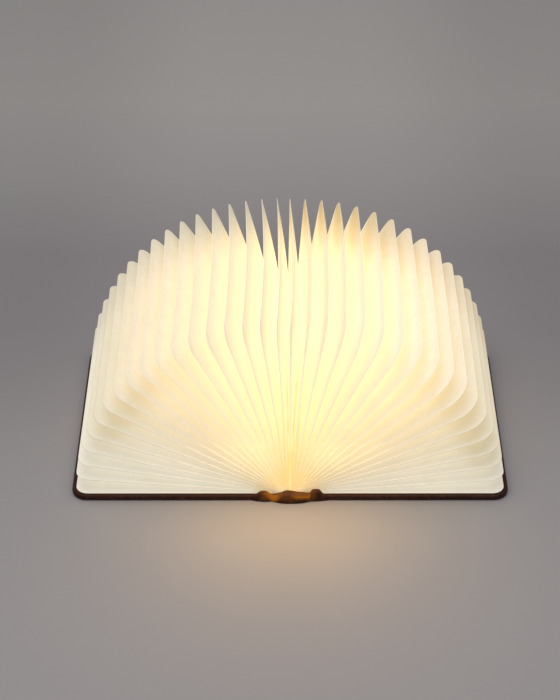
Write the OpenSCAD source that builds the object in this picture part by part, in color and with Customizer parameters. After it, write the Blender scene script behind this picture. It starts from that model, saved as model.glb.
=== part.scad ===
// Folding book lamp: two leather covers, a spine with a light bar, and a fan of bonded paper pleats.
// The book lies open by half a turn. +X is to the right, +Z is up, and the spine runs along Y.

/* [Covers] */
// Width of the open lamp, from fore-edge to fore-edge
open_w = 365; // [320:5:420]
// Length of the covers along the spine
cover_h = 215; // [190:1:260]
// Thickness of a cover's board
board_t = 3.4; // [2.6:0.1:3.8]
// Thickness of the leather
leather_t = 0.8; // [0.5:0.1:1]
// Radius of the covers' outer corners
cover_r = 13; // [6:1:25]
// Radius of the leather bead at a cover's inner corners
bead_r = 5; // [4:0.1:5.1]
// How far the beads and the spine's end caps stand out past the covers
cap_reach = 1; // [0.5:0.1:2]
// Radius of a magnet in a cover
magnet_r = 4; // [2.5:0.5:5]
// Thickness of a magnet
magnet_t = 2; // [1:0.1:2.4]
// Distance of the fore-edge magnets from the cover's edges
magnet_inset = 12; // [8:1:30]
// Distance of the switch's magnet from the left cover's inner edge
key_inset = 9; // [6:0.5:14]

/* [Spine] */
// Width of the stiff strip in the spine
strip_w = 19; // [18:0.5:22]
// Thickness of the stiff strip
strip_t = 1.2; // [1:0.1:1.4]
// Width of the flexible groove beside the strip
groove_w = 7.5; // [7:0.5:10]
// Thickness of the backed leather in the groove
groove_t = 1.4; // [1.1:0.1:1.6]
// Distance from the strip's edge to the line that a cover folds on
fold_x = 2; // [1.8:0.1:2.6]
// Height of the fold line above the table
fold_z = 1.5; // [1.3:0.1:1.7]
// Radius of the groove pressed along the fold line
press_r = 0.9; // [0.6:0.1:1]
// Radius of the domed caps at the ends of the spine
cap_r = 9.6; // [8.6:0.1:10]
// Height of the domed caps
cap_top = 9.4; // [8.4:0.1:9.8]

/* [Pages] */
// Number of pleats on the left of the upright one
pleats_left = 18; // [12:1:18]
// Number of pleats on the right of the upright one
pleats_right = 17; // [12:1:17]
// How far the left-hand ridges crowd towards the upright one, as a share of a step
crowd_left = 0.7; // [0:0.05:0.8]
// How far the right-hand ridges lie off even spacing, inwards near the upright one and outwards near the cover
wave_right = 0.32; // [0:0.02:0.4]
// How far the right-hand valleys lie past the middle of their step, as a share of a step
lean_right = 0.25; // [0:0.05:0.3]
// Margin of cover that shows around the pages
page_margin = 3.5; // [2:0.5:6]
// How much further the upright pleat reaches than the lowest ones
page_gain = 2.5; // [0:0.5:3.5]
// Depth of a pleat, from its ridge to its valley
pleat_d = 46; // [36:1:52]
// Radius of a ridge's corners
ridge_r = 10; // [5:1:16]
// Radius of a valley's corners
valley_r = 20; // [10:1:30]
// Thickness of a page
page_t = 0.2; // [0.15:0.05:0.3]
// Distance from the fold line to the inner end of a page
leg_start = 3; // [2.9:0.1:4]

/* [Light bar] */
// Width of the light bar
bar_w = 15; // [14.5:0.1:15.4]
// Gap between each end of the light bar and the pages' valleys
bar_gap = 3; // [1:0.5:8]
// Height of the light bar's housing, without the diffuser
bar_h = 10; // [9.8:0.1:12]
// Thickness of the housing's side and end walls
bar_wall = 1.2; // [0.8:0.1:1.4]
// Thickness of the housing's floor
bar_floor = 0.8; // [0.6:0.1:1]
// Thickness of the milky diffuser
diffuser_t = 1.2; // [0.8:0.1:1.6]
// Thickness of the aluminium board under the light-emitting diodes
led_board_t = 1; // [0.8:0.1:1.4]
// Length of one light-emitting diode
led_l = 3.5; // [2:0.1:5]
// Width of one light-emitting diode
led_w = 2.8; // [2:0.1:5]
// Height of one light-emitting diode
led_h = 0.8; // [0.5:0.1:1.5]
// Distance from one light-emitting diode to the next
led_pitch = 8; // [6:0.5:12]

/* [Electronics] */
// Width of the battery cell
cell_w = 11.4; // [9:0.1:11.6]
// Height of the battery cell
cell_h = 6.4; // [5:0.1:6.4]
// Length of the control board
control_l = 36; // [32:1:40]
// Width of the control board
control_w = 11; // [9.4:0.1:11.6]
// Thickness of the control board
control_t = 1; // [0.8:0.1:1.2]
// Width of the charging socket
socket_w = 8.9; // [8:0.1:9]
// Height of the charging socket
socket_h = 3.2; // [3:0.1:3.2]
// Depth of the charging socket
socket_l = 7.4; // [6:0.1:8]
// Radius of a lead
lead_r = 0.6; // [0.4:0.05:0.6]
// Radius of the screws' shanks
screw_r = 0.95; // [0.7:0.05:1]
// Radius of the screws' heads
screw_head_r = 1.3; // [1.2:0.05:1.4]

/* [Hidden] */
$fn = 48;
// Clearances: between pieces that aren't glued, round a press-fitted piece, and between folds as a share of their step
rest_gap = 0.3;
fit_gap = 0.05;
fold_gap = 0.04;
cover_t = board_t + 2*leather_t;
near_x = strip_w/2 + groove_w;
hinge_x = strip_w/2 + fold_x;
fore_x = open_w/2;
strip_top = leather_t + strip_t;
cover_half = cover_h/2;
page_half = cover_half - page_margin;
side_reach = fore_x - page_margin - hinge_x;
top_reach = side_reach + page_gain;
last_offset = cover_t + rest_gap - fold_z;
flat_t = rest_gap - fit_gap;
leg_shares = [0, 0.1, 0.3, 0.6];
arc_steps = 5;
quarter = 90;
half_turn = 180;
full_turn = 360;
crowd_power = 0.7;
wave_power = 0.85;
cavity_half = page_half - pleat_d;
cap_inner_y = page_half + 0.4;
cap_outer_y = cover_half + cap_reach;
cap_z = cap_top - cap_r;
bead_x = near_x + bead_r + 0.5;
bead_z = bead_r + 0.1;
bar_half = cavity_half - bar_gap;
bar_inner_half = bar_half - bar_wall;
bar_top = strip_top + bar_h;
floor_top = strip_top + bar_floor;
bar_inner = bar_w/2 - bar_wall;
ledge_w = 1;
ledge_t = 0.8;
anchor_top = fold_z + leg_start - rest_gap;
anchor_w = bar_w;
head_gap = 0.1;
lead_gap = 7;
board_gap = 1.8;
cell_y = -bar_inner_half + 2*(screw_head_r + head_gap);
control_y = bar_inner_half - board_gap - control_l;
cell_l = control_y - lead_gap - cell_y;
post_h = 2.2;
control_z = floor_top + post_h;
plug_h = 2.6;
plug_l = 4;
plug_half = 3;
coil_r = 2.4;
chip_w = 4;
chip_t = 1.1;
lead_z = floor_top + 0.1 + lead_r;
lead_x = 1.2;
socket_z = leather_t + 0.1;
socket_y = cap_outer_y - 0.6 - socket_l;
front_screw_y = -bar_inner_half + screw_head_r + head_gap;
middle_screw_y = control_y - lead_gap/2;
screw_head_h = 0.8;
switch_l = 9;
switch_r = 1;
switch_y = control_y + 0.61*control_l;
magnet_z = (cover_t - magnet_t)/2;
magnet_y = cover_half - magnet_inset;
key_magnet_x = near_x + key_inset;
leather = "#2e1a12";
paper = "#f3ecd8";

function two_digits(i) = i < 10 ? str("0", i) : str(i);
function pleat_name(side, i) = str(side, "_pleat_", two_digits(i));
function led_count() = floor((2*bar_inner_half - led_l - 4)/led_pitch/2);

// Rectangle in X and Y whose far corners, at the larger X, are round
module cover_outline(x0, x1, half, r) {
    translate([x0, -half])
        square([x1 - x0 - r, 2*half]);
    translate([x1 - r - 0.01, -half + r])
        square([r + 0.01, 2*(half - r)]);
    for (s = [-1, 1])
        translate([x1 - r, s*(half - r)])
            circle(r);
}

// Rectangle with four round corners, centred
module rounded_rect(w, h, r) {
    square([w - 2*r, h], center = true);
    square([w, h - 2*r], center = true);
    for (x = [-1, 1], y = [-1, 1])
        translate([x*(w/2 - r), y*(h/2 - r)])
            circle(r);
}

// Cylinder along Y from y0 to y1
module rod_y(r, x, z, y0, y1) {
    translate([x, y0, z])
        rotate([-90, 0, 0])
            cylinder(r = r, h = y1 - y0);
}

// Box from one corner to the opposite one
module block(low, high) {
    translate(low)
        cube(high - low);
}

// Everything about the right-hand cover is drawn at +X, and mirrored for the left-hand one
module on_side(side) {
    if (side == "left")
        mirror([1, 0, 0])
            children();
    else
        children();
}

module magnet_places(side) {
    for (s = [-1, 1])
        translate([fore_x - magnet_inset, s*magnet_y, 0])
            children();
    if (side == "left")
        translate([key_magnet_x, switch_y, 0])
            children();
}

module cover_board(side) {
    color("#8a7458")
        on_side(side)
            difference() {
                translate([0, 0, leather_t])
                    linear_extrude(board_t)
                        cover_outline(near_x + leather_t, fore_x - leather_t, cover_half - leather_t,
                            cover_r - leather_t);
                magnet_places(side)
                    translate([0, 0, magnet_z - fit_gap])
                        cylinder(r = magnet_r + fit_gap, h = cover_t);
            }
}

module cover_magnets(side) {
    color("silver")
        on_side(side)
            magnet_places(side)
                translate([0, 0, magnet_z])
                    cylinder(r = magnet_r, h = magnet_t);
}

// Leather and lining all round the board, with a rolled bead at each inner corner
module cover_leather(side) {
    color(leather)
        on_side(side) {
            difference() {
                linear_extrude(cover_t)
                    cover_outline(near_x, fore_x, cover_half, cover_r);
                translate([0, 0, leather_t])
                    linear_extrude(board_t)
                        cover_outline(near_x + leather_t, fore_x - leather_t, cover_half - leather_t,
                            cover_r - leather_t);
            }
            for (s = [-1, 1])
                difference() {
                    rod_y(bead_r, bead_x, bead_z, s > 0 ? cap_inner_y : -cap_outer_y,
                        s > 0 ? cap_outer_y : -cap_inner_y);
                    block([near_x, -cover_half, 0], [bead_x + bead_r, cover_half, cover_t]);
                }
        }
}

// Backed leather between the strip and a cover, thinned along the fold line by the pressed groove
module hinge_leather(side) {
    color(leather)
        on_side(side)
            difference() {
                block([strip_w/2, -cover_half, 0], [near_x, cover_half, groove_t]);
                rod_y(press_r, hinge_x, fold_z, -cover_half - 1, cover_half + 1);
            }
}

module spine_strip() {
    color("#8a7458")
        difference() {
            block([-strip_w/2, -cover_half, leather_t], [strip_w/2, cover_half, strip_top]);
            block([-socket_w/2 - 0.2, socket_y - 0.2, 0], [socket_w/2 + 0.2, cover_half + 1, strip_top + 1]);
            screw_places()
                translate([0, 0, leather_t])
                    cylinder(r = screw_r + fit_gap, h = strip_t + 1);
        }
}

// Outline of an end cap in X and Z, from the strip's top to its domed edge
module cap_outline(r) {
    intersection() {
        translate([0, cap_z])
            circle(r);
        translate([-strip_w/2, strip_top])
            square([strip_w, 2*cap_r]);
    }
}

module cap_solid(r, y0, y1) {
    translate([0, y1, 0])
        rotate([90, 0, 0])
            linear_extrude(y1 - y0)
                cap_outline(r);
}

module socket_mouth(gap, y0, y1) {
    translate([0, y1, socket_z + socket_h/2])
        rotate([90, 0, 0])
            linear_extrude(y1 - y0)
                rounded_rect(socket_w + 2*gap, socket_h + 2*gap, socket_h/2 + gap - 0.05);
}

// Leather under the strip, and over a domed cap at each end
module spine_leather() {
    color(leather)
        difference() {
            union() {
                block([-strip_w/2, -cover_half, 0], [strip_w/2, cover_half, leather_t]);
                for (s = [-1, 1])
                    mirror([0, s > 0 ? 1 : 0, 0]) {
                        cap_solid(cap_r, -cap_outer_y, -cap_inner_y);
                        block([-strip_w/2, -cap_outer_y, 0], [strip_w/2, -cover_half, strip_top]);
                    }
            }
            for (s = [-1, 1])
                mirror([0, s > 0 ? 1 : 0, 0])
                    cap_solid(cap_r - leather_t, -cap_outer_y + leather_t, -cap_inner_y + 1);
            socket_mouth(0.2, socket_y, cap_outer_y + 1);
        }
}

// Stiff former inside the leather of the front cap
module front_end_block() {
    color("#4a4038")
        cap_solid(cap_r - leather_t - fit_gap, -cap_outer_y + leather_t + fit_gap, -cap_inner_y);
}

// The same former at the back, cut out for the charging socket
module back_end_block() {
    color("#4a4038")
        difference() {
            mirror([0, 1, 0])
                cap_solid(cap_r - leather_t - fit_gap, -cap_outer_y + leather_t + fit_gap, -cap_inner_y);
            socket_mouth(0.2, socket_y - 1, cap_outer_y + 1);
        }
}

// Two felt rails that the pages' inner ends are glued to, each with a channel for the leads
module page_anchors() {
    color("#d9d2c2")
        for (s = [-1, 1])
            difference() {
                block([-anchor_w/2, s > 0 ? cavity_half : -page_half, strip_top],
                    [anchor_w/2, s > 0 ? socket_y - 1 : -cavity_half, anchor_top]);
                block([-lead_x - lead_r - 0.3, -cover_half, floor_top],
                    [lead_x + lead_r + 0.3, cover_half, anchor_top + 1]);
            }
}

module screw_places() {
    for (y = [front_screw_y, middle_screw_y])
        translate([0, y, 0])
            children();
}

module housing_screws() {
    color("silver")
        screw_places() {
            translate([0, 0, leather_t])
                cylinder(r = screw_r, h = floor_top - leather_t);
            translate([0, 0, floor_top])
                difference() {
                    cylinder(r = screw_head_r, h = screw_head_h);
                    translate([-screw_head_r, -0.2, screw_head_h/2])
                        cube([2*screw_head_r, 0.4, 1]);
                }
        }
}

// Tray with end walls, ledges for the diode board and posts for the control board
module light_bar_housing() {
    color("#e9e4d6")
        difference() {
            union() {
                difference() {
                    block([-bar_w/2, -bar_half, strip_top], [bar_w/2, bar_half, bar_top]);
                    block([-bar_inner, -bar_inner_half, floor_top],
                        [bar_inner, bar_inner_half, bar_top + 1]);
                }
                for (s = [-1, 1])
                    block([s > 0 ? bar_inner - ledge_w : -bar_inner, -bar_inner_half,
                            bar_top - led_board_t - ledge_t],
                        [s > 0 ? bar_inner : -bar_inner + ledge_w, bar_inner_half,
                            bar_top - led_board_t]);
                for (x = [-1, 1], y = [control_y + 4, control_y + control_l - 9])
                    translate([x*(control_w/2 - 1.5), y, floor_top])
                        cylinder(r = 1.2, h = post_h);
            }
            screw_places()
                cylinder(r = screw_r + fit_gap, h = floor_top + 1);
            for (x = [-lead_x, lead_x])
                rod_y(lead_r + 0.1, x, lead_z, bar_inner_half - 1, bar_half + 1);
        }
}

module led_board() {
    color("#f2f2ee")
        block([-bar_inner + 0.1, -bar_inner_half + 0.1, bar_top - led_board_t],
            [bar_inner - 0.1, bar_inner_half - 0.1, bar_top]);
}

// One row of diodes, each with its yellow window
module leds() {
    color("#f6d86b")
        for (i = [-led_count():led_count()])
            translate([-led_w/2, i*led_pitch - led_l/2, bar_top])
                difference() {
                    cube([led_w, led_l, led_h]);
                    translate([led_w/2, led_l/2, led_h - 0.2])
                        cylinder(r = 0.4*min(led_w, led_l), h = 1);
                }
}

// Half-round milky cover over the diodes, closed at both ends
module diffuser() {
    color("#fbf6e6")
        translate([0, 0, bar_top])
            difference() {
                intersection() {
                    rod_y(bar_w/2, 0, 0, -bar_half, bar_half);
                    block([-bar_w, -bar_half, 0], [bar_w, bar_half, bar_w]);
                }
                intersection() {
                    rod_y(bar_w/2 - diffuser_t, 0, 0, -bar_half + diffuser_t, bar_half - diffuser_t);
                    block([-bar_w, -bar_half, -1], [bar_w, bar_half, bar_w]);
                }
            }
}

module battery_cell() {
    color("#7d8a94")
        translate([0, cell_y, floor_top + cell_h/2])
            rotate([-90, 0, 0])
                linear_extrude(cell_l)
                    rounded_rect(cell_w, cell_h, 1.5);
}

// Board on its posts, with a plug for each pair of leads, a coil and three chips
module control_board() {
    color("#2f6b45") {
        block([-control_w/2, control_y, control_z], [control_w/2, control_y + control_l, control_z + control_t]);
        block([-plug_half, control_y, control_z + control_t],
            [plug_half, control_y + plug_l, control_z + control_t + plug_h]);
        block([-plug_half, control_y + control_l - plug_l, floor_top],
            [plug_half, control_y + control_l, control_z]);
        translate([control_w/8, control_y + 0.28*control_l, control_z + control_t])
            cylinder(r = coil_r, h = coil_r);
        for (share = [0.43, 0.58, 0.75])
            block([0.2, control_y + share*control_l, control_z + control_t],
                [0.2 + chip_w, control_y + share*control_l + chip_w, control_z + control_t + chip_t]);
    }
}

// Glass switch beside the left wall, which the magnet in the closed cover opens, with a wire on two feet
module reed_switch() {
    x = -control_w/2 + 1.6;
    base_z = control_z + control_t;
    z = base_z + switch_r + 0.2;
    foot = 0.45;
    color("#9fd0c4") {
        rod_y(switch_r, x, z, switch_y - switch_l/2, switch_y + switch_l/2);
        rod_y(0.3, x, z, switch_y - switch_l/2 - 1, switch_y + switch_l/2 + 1);
        for (s = [-1, 1])
            translate([x, switch_y + s*(switch_l/2 + 1), 0])
                block([-foot, -foot, base_z], [foot, foot, z + foot]);
    }
}

module charging_socket() {
    color("silver")
        difference() {
            socket_mouth(0, socket_y, socket_y + socket_l);
            difference() {
                socket_mouth(-0.35, socket_y + 1, socket_y + socket_l + 1);
                block([-socket_w/2 + 1.2, socket_y, socket_z + socket_h/2 - 0.35],
                    [socket_w/2 - 1.2, socket_y + socket_l - 1, socket_z + socket_h/2 + 0.35]);
            }
        }
}

module battery_leads() {
    color("#b5482e")
        for (x = [-lead_x, lead_x])
            rod_y(lead_r, x, control_z + control_t + 1, cell_y + cell_l, control_y);
}

module socket_leads() {
    color("#3b3b40")
        for (x = [-lead_x, lead_x])
            rod_y(lead_r, x, lead_z, control_y + control_l, socket_y);
}

// Where a page lies: u is 0 for the upright page and 1 for the one on the cover, a is the distance along the page
// from the fold line, and y is the place along the spine
function page_offset(u) = hinge_x + (last_offset - hinge_x)*u;
function page_point(u, a, y, lift = 0) =
    let (o = page_offset(u) + lift)
    let (t = quarter*u)
    [hinge_x - o*cos(t) + a*sin(t), y, fold_z + o*sin(t) + a*cos(t)];
function reach(u) = top_reach + (side_reach - top_reach)*u;
function pleats(side) = side == "left" ? pleats_left : pleats_right;
// Where a ridge lies in the fan, from 0 for the upright one to 1 for the one on the cover
function ridge_turn(side, i) =
    let (n = pleats(side), u = i/n)
    side == "left" ? u - crowd_left/n*(1 - u)*sin(half_turn*pow(u, crowd_power)) :
    u - wave_right/n*sin(full_turn*pow(u, wave_power));
// Where the valley after a ridge lies
function valley_turn(side, i) =
    let (u = ridge_turn(side, i), lean = side == "left" ? 0 : lean_right*(1 - i/pleats(side)))
    u + (ridge_turn(side, i + 1) - u)*(0.5 + lean);

// Stations along a page band from the front leg round to the back leg: [ridge a, ridge y, valley a, valley y]
function half_band(a) = concat(
    [for (share = leg_shares)
        [leg_start + share*(a - ridge_r - leg_start), page_half,
            leg_start + share*(a - pleat_d - valley_r - leg_start), cavity_half]],
    [for (i = [0:arc_steps]) let (t = quarter*i/arc_steps)
        [a - ridge_r*(1 - sin(t)), page_half - ridge_r*(1 - cos(t)),
            a - pleat_d - valley_r*(1 - sin(t)), cavity_half - valley_r*(1 - cos(t))]]);
function to_front(b) = [for (s = b) [s[0], -s[1], s[2], -s[3]]];
function band(a) =
    let (half = half_band(a))
    concat(to_front(half), [for (i = [len(half) - 1:-1:0]) half[i]]);

// Width of the opening under one page at its valley, where the valley lies a turn of v away from the ridge
function wing(v, a) = v*(hinge_x - last_offset + a*PI/2);
// Ring of six points round a pleat's section: lower valley, ridge, upper valley, then back along the inside.
// The valleys lie turns of v and w away from the ridge.
function pleat_ring(u, v, w, s) =
    let (low = wing(v, s[2]), high = wing(w, s[2]))
    let (t = min(page_t, 0.6*min(low, high)))
    let (k = min(0.8, 2*t/(low + high)))
    let (ia = s[0] + (s[2] - s[0])*k)
    let (iy = s[1] + (s[3] - s[1])*k)
    let (iu = u + k*(w - v)/2)
    [page_point(u - v, s[2], s[3]), page_point(u, s[0], s[1]), page_point(u + w, s[2], s[3]),
        page_point(u + w*(1 - t/high), s[2], s[3]), page_point(iu, ia, iy),
        page_point(u - v*(1 - t/low), s[2], s[3])];
// The last pleat: one page glued flat on the cover, and one that rises to its valley
function last_ring(u, v, s) =
    let (low = wing(v, s[2]))
    let (t = min(flat_t, 0.6*low))
    let (k = min(0.8, t/low))
    let (ia = s[0] + (s[2] - s[0])*k)
    let (iy = s[1] + (s[3] - s[1])*k)
    [page_point(u - v, s[2], s[3]), page_point(u, s[0], s[1], -flat_t), page_point(u, s[2], s[3], -flat_t),
        page_point(u, s[2], s[3]), page_point(u, ia, iy), page_point(u - v*(1 - t/low), s[2], s[3])];
// Skin of quads through rings of six points, with a cap at each end. The pages are twisted, so each quad is cut
// from its ridge towards the wider end of the pleat, and a page's two faces run side by side.
module ring_skin(rings) {
    n = len(rings);
    points = [for (r = rings) for (p = r) p];
    sides = [for (i = [0:n - 2]) for (k = [0:5])
        let (a = 6*i + k, b = 6*i + (k + 1)%6, c = a + 6, d = b + 6)
        let (widens = i < n/2 - 1)
        let (from_ridge = k%3 == 1)
        for (f = widens == from_ridge ? [[a, d, b], [a, c, d]] : [[a, c, b], [b, c, d]]) f];
    first = [[0, 1, 5], [1, 4, 5], [1, 2, 4], [2, 3, 4]];
    last = [for (f = first) [for (k = [2, 1, 0]) f[k] + 6*(n - 1)]];
    polyhedron(points = points, faces = concat(sides, first, last), convexity = 8);
}

module pleat(side, i) {
    u = ridge_turn(side, i);
    v = (u - valley_turn(side, i - 1))*(1 - fold_gap);
    w = (valley_turn(side, i) - u)*(1 - fold_gap);
    color(paper)
        on_side(side)
            ring_skin([for (s = band(reach(u)))
                i == pleats(side) ? last_ring(u, v, s) : pleat_ring(u, v, w, s)]);
}
// The upright pleat, whose two pages lean to either side
module centre_pleat() {
    right = valley_turn("right", 0)*(1 - fold_gap);
    left = valley_turn("left", 0)*(1 - fold_gap);
    color(paper)
        ring_skin([for (s = band(reach(0)))
            let (r = pleat_ring(0, right, right, s))
            let (l = pleat_ring(0, left, left, s))
            [mirrored(l[2]), r[1], r[2], r[3], r[4], mirrored(l[3])]]);
}
function mirrored(p) = [-p[0], p[1], p[2]];

spine_strip();
spine_leather();
front_end_block();
back_end_block();
page_anchors();
light_bar_housing();
led_board();
leds();
diffuser();
battery_cell();
control_board();
reed_switch();
charging_socket();
housing_screws();
battery_leads();
socket_leads();
hinge_leather("left");  // left_hinge_leather
hinge_leather("right");  // right_hinge_leather
cover_board("left");  // left_cover_board
cover_board("right");  // right_cover_board
cover_leather("left");  // left_cover_leather
cover_leather("right");  // right_cover_leather
cover_magnets("left");  // left_cover_magnets
cover_magnets("right");  // right_cover_magnets
centre_pleat();
for (i = [1:pleats_left])
    pleat("left", i);
for (i = [1:pleats_right])
    pleat("right", i);
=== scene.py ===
"""Folding book lamp: a leather case that lies open like a book, with a lit fan of pleated pages."""

import logging
import math
import random
from collections.abc import Callable, Iterable
from dataclasses import dataclass, field
from enum import Enum

import bmesh
import bpy
from mathutils import Matrix, Vector
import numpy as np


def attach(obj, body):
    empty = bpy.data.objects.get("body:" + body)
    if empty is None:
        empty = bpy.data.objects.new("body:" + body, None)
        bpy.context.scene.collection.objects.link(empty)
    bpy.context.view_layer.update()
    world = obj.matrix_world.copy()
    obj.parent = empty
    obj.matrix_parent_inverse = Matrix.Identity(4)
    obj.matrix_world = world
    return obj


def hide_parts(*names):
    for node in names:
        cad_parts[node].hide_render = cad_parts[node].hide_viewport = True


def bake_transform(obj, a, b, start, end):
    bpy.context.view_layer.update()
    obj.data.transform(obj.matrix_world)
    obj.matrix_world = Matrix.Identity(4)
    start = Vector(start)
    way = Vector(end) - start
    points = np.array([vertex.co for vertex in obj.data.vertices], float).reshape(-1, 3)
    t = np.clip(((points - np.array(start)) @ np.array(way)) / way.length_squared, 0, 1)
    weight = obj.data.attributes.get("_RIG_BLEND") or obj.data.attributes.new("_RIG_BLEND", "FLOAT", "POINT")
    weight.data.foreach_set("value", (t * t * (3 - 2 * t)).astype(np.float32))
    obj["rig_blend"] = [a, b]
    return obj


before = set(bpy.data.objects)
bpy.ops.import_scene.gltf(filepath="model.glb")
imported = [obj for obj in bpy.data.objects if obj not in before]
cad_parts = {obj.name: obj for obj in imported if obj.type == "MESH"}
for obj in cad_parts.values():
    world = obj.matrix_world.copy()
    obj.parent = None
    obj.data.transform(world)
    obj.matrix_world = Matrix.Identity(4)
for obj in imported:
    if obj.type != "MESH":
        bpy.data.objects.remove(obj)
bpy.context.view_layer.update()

log = logging.getLogger("book_lamp")
Colour = tuple[float, float, float]
Band = tuple[float, float]
BLACK: Colour = (0.0, 0.0, 0.0)
MM = 0.001
EDGE_MATCH = 1e-5


class Side(Enum):
    """The two halves of the lamp, with the sign of their X."""

    LEFT = -1
    RIGHT = 1

    @property
    def word(self) -> str:
        """The side's name, as the bodies and nodes spell it."""
        return self.name.lower()


class Leg(Enum):
    """The three stretches of a page band, seen along the spine."""

    FRONT = "front"
    TOP = "top"
    BACK = "back"


class Wiring:
    """Adds nodes to a tree and joins their sockets.

    Args:
        tree: The node tree of a material or a group.
    """

    def __init__(self, tree: bpy.types.NodeTree) -> None:
        """Keeps the tree."""
        self.tree = tree

    def node(self, kind: str, **settings: object) -> bpy.types.Node:
        """Adds a node and sets its options.

        Args:
            kind: The node's type, without the leading ShaderNode.
            **settings: Attributes of the node.

        Returns:
            The new node.
        """
        made = self.tree.nodes.new("ShaderNode" + kind)
        for name, value in settings.items():
            setattr(made, name, value)
        return made

    def feed(self, socket: bpy.types.NodeSocket, value: object) -> None:
        """Links a socket to another one, or sets its value.

        Args:
            socket: The input to feed.
            value: An output socket, or a number, vector or colour.
        """
        if isinstance(value, bpy.types.NodeSocket):
            self.tree.links.new(value, socket)
        elif isinstance(value, tuple) and len(value) == 3 and socket.type == "RGBA":
            socket.default_value = (*value, 1.0)
        else:
            socket.default_value = value

    def maths(self, operation: str, *values: object, clamp: bool = False) -> bpy.types.NodeSocket:
        """A Math node.

        Args:
            operation: The node's operation.
            *values: Up to three numbers or sockets.
            clamp: Whether the result is held between 0 and 1.

        Returns:
            The node's result.
        """
        made = self.node("Math", operation=operation, use_clamp=clamp)
        for socket, value in zip(made.inputs, values):
            self.feed(socket, value)
        return made.outputs[0]

    def blend_colour(
        self, factor: object, first: object, second: object, mode: str = "MIX"
    ) -> bpy.types.NodeSocket:
        """A colour between two others.

        Args:
            factor: 0 for the first colour and 1 for the second.
            first: A colour or socket.
            second: A colour or socket.
            mode: The way of mixing.

        Returns:
            The mixed colour.
        """
        made = self.node("Mix", data_type="RGBA", blend_type=mode)
        self.feed(made.inputs[0], factor)
        self.feed(made.inputs[6], first)
        self.feed(made.inputs[7], second)
        return made.outputs[2]

    def between(self, value: object, low: float, high: float) -> bpy.types.NodeSocket:
        """A smooth step of a value from 0 at low to 1 at high."""
        made = self.node("MapRange", interpolation_type="SMOOTHSTEP")
        for socket, given in zip(made.inputs, (value, low, high, 0.0, 1.0)):
            self.feed(socket, given)
        return made.outputs[0]

    def spread(self, value: object, low: float, high: float) -> bpy.types.NodeSocket:
        """A value from 0 to 1 laid out between two numbers."""
        made = self.node("MapRange")
        for socket, given in zip(made.inputs, (value, 0.0, 1.0, low, high)):
            self.feed(socket, given)
        return made.outputs[0]

    def ramp(self, factor: object, stops: Iterable[tuple[float, Colour]]) -> bpy.types.NodeSocket:
        """A colour picked from a row of stops.

        Args:
            factor: Where to pick, from 0 to 1.
            stops: Pairs of place and colour, in order.

        Returns:
            The picked colour.
        """
        made = self.node("ValToRGB")
        elements = made.color_ramp.elements
        listed = list(stops)
        while len(elements) < len(listed):
            elements.new(0.5)
        for element, (place, colour) in zip(elements, listed):
            element.position = place
            element.color = (*colour, 1.0)
        self.feed(made.inputs[0], factor)
        return made.outputs[0]

    def noise(
        self, vector: object, scale: float, detail: float = 3.0, roughness: float = 0.5
    ) -> bpy.types.NodeSocket:
        """The value of a Noise texture at a place."""
        made = self.node("TexNoise")
        return self.fill(made, Vector=vector, Scale=scale, Detail=detail, Roughness=roughness).outputs[0]

    def place(self) -> bpy.types.NodeSocket:
        """The Object coordinates of the surface."""
        return self.node("TexCoord").outputs["Object"]

    def fill(self, node: bpy.types.Node, **inputs: object) -> bpy.types.Node:
        """Feeds a node's inputs by name.

        Args:
            node: The node.
            **inputs: Values or sockets by input name, with _ for a space.

        Returns:
            The same node.
        """
        for name, value in inputs.items():
            self.feed(node.inputs[name.replace("_", " ")], value)
        return node

    def group(self, tree: bpy.types.NodeTree, **inputs: object) -> bpy.types.Node:
        """Places a node group with its own values, named as fill takes them."""
        return self.fill(self.node("Group", node_tree=tree), **inputs)

    def product(self, first: object, *others: object) -> bpy.types.NodeSocket:
        """Numbers multiplied together from left to right."""
        for other in others:
            first = self.maths("MULTIPLY", first, other)
        return first

    def off(self, value: object, centre: float = 0.0) -> bpy.types.NodeSocket:
        """How far a value lies from a centre, on either side."""
        return self.maths("ABSOLUTE", self.maths("SUBTRACT", value, centre))

    def axes(self, vector: object) -> list[bpy.types.NodeSocket]:
        """The three numbers of a vector."""
        made = self.node("SeparateXYZ")
        self.feed(made.inputs[0], vector)
        return list(made.outputs)

    def darkened(self, colour: object, share: object) -> bpy.types.NodeSocket:
        """A colour taken a share of the way to black."""
        return self.blend_colour(share, colour, BLACK)

    def scaled(self, colour: object, factor: object) -> bpy.types.NodeSocket:
        """A colour times a number."""
        made = self.node("VectorMath", operation="SCALE")
        self.feed(made.inputs[0], colour)
        self.feed(made.inputs["Scale"], factor)
        return made.outputs[0]

    def bump(self, height: object, strength: float, distance: float) -> bpy.types.NodeSocket:
        """The normal of a surface with a relief on it."""
        made = self.fill(self.node("Bump"), Height=height, Strength=strength, Distance=distance)
        return made.outputs[0]


def new_group(
    name: str, inputs: dict[str, str], outputs: dict[str, str]
) -> tuple[Wiring, bpy.types.Node, bpy.types.Node]:
    """Starts a shader node group.

    Args:
        name: The group's name.
        inputs: Socket type by input name.
        outputs: Socket type by output name.

    Returns:
        The wiring, the group's input node and its output node.
    """
    tree = bpy.data.node_groups.new(name, "ShaderNodeTree")
    for direction, sockets in (("INPUT", inputs), ("OUTPUT", outputs)):
        for socket, kind in sockets.items():
            tree.interface.new_socket(socket, in_out=direction, socket_type="NodeSocket" + kind)
    wiring = Wiring(tree)
    return wiring, tree.nodes.new("NodeGroupInput"), tree.nodes.new("NodeGroupOutput")


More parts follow.
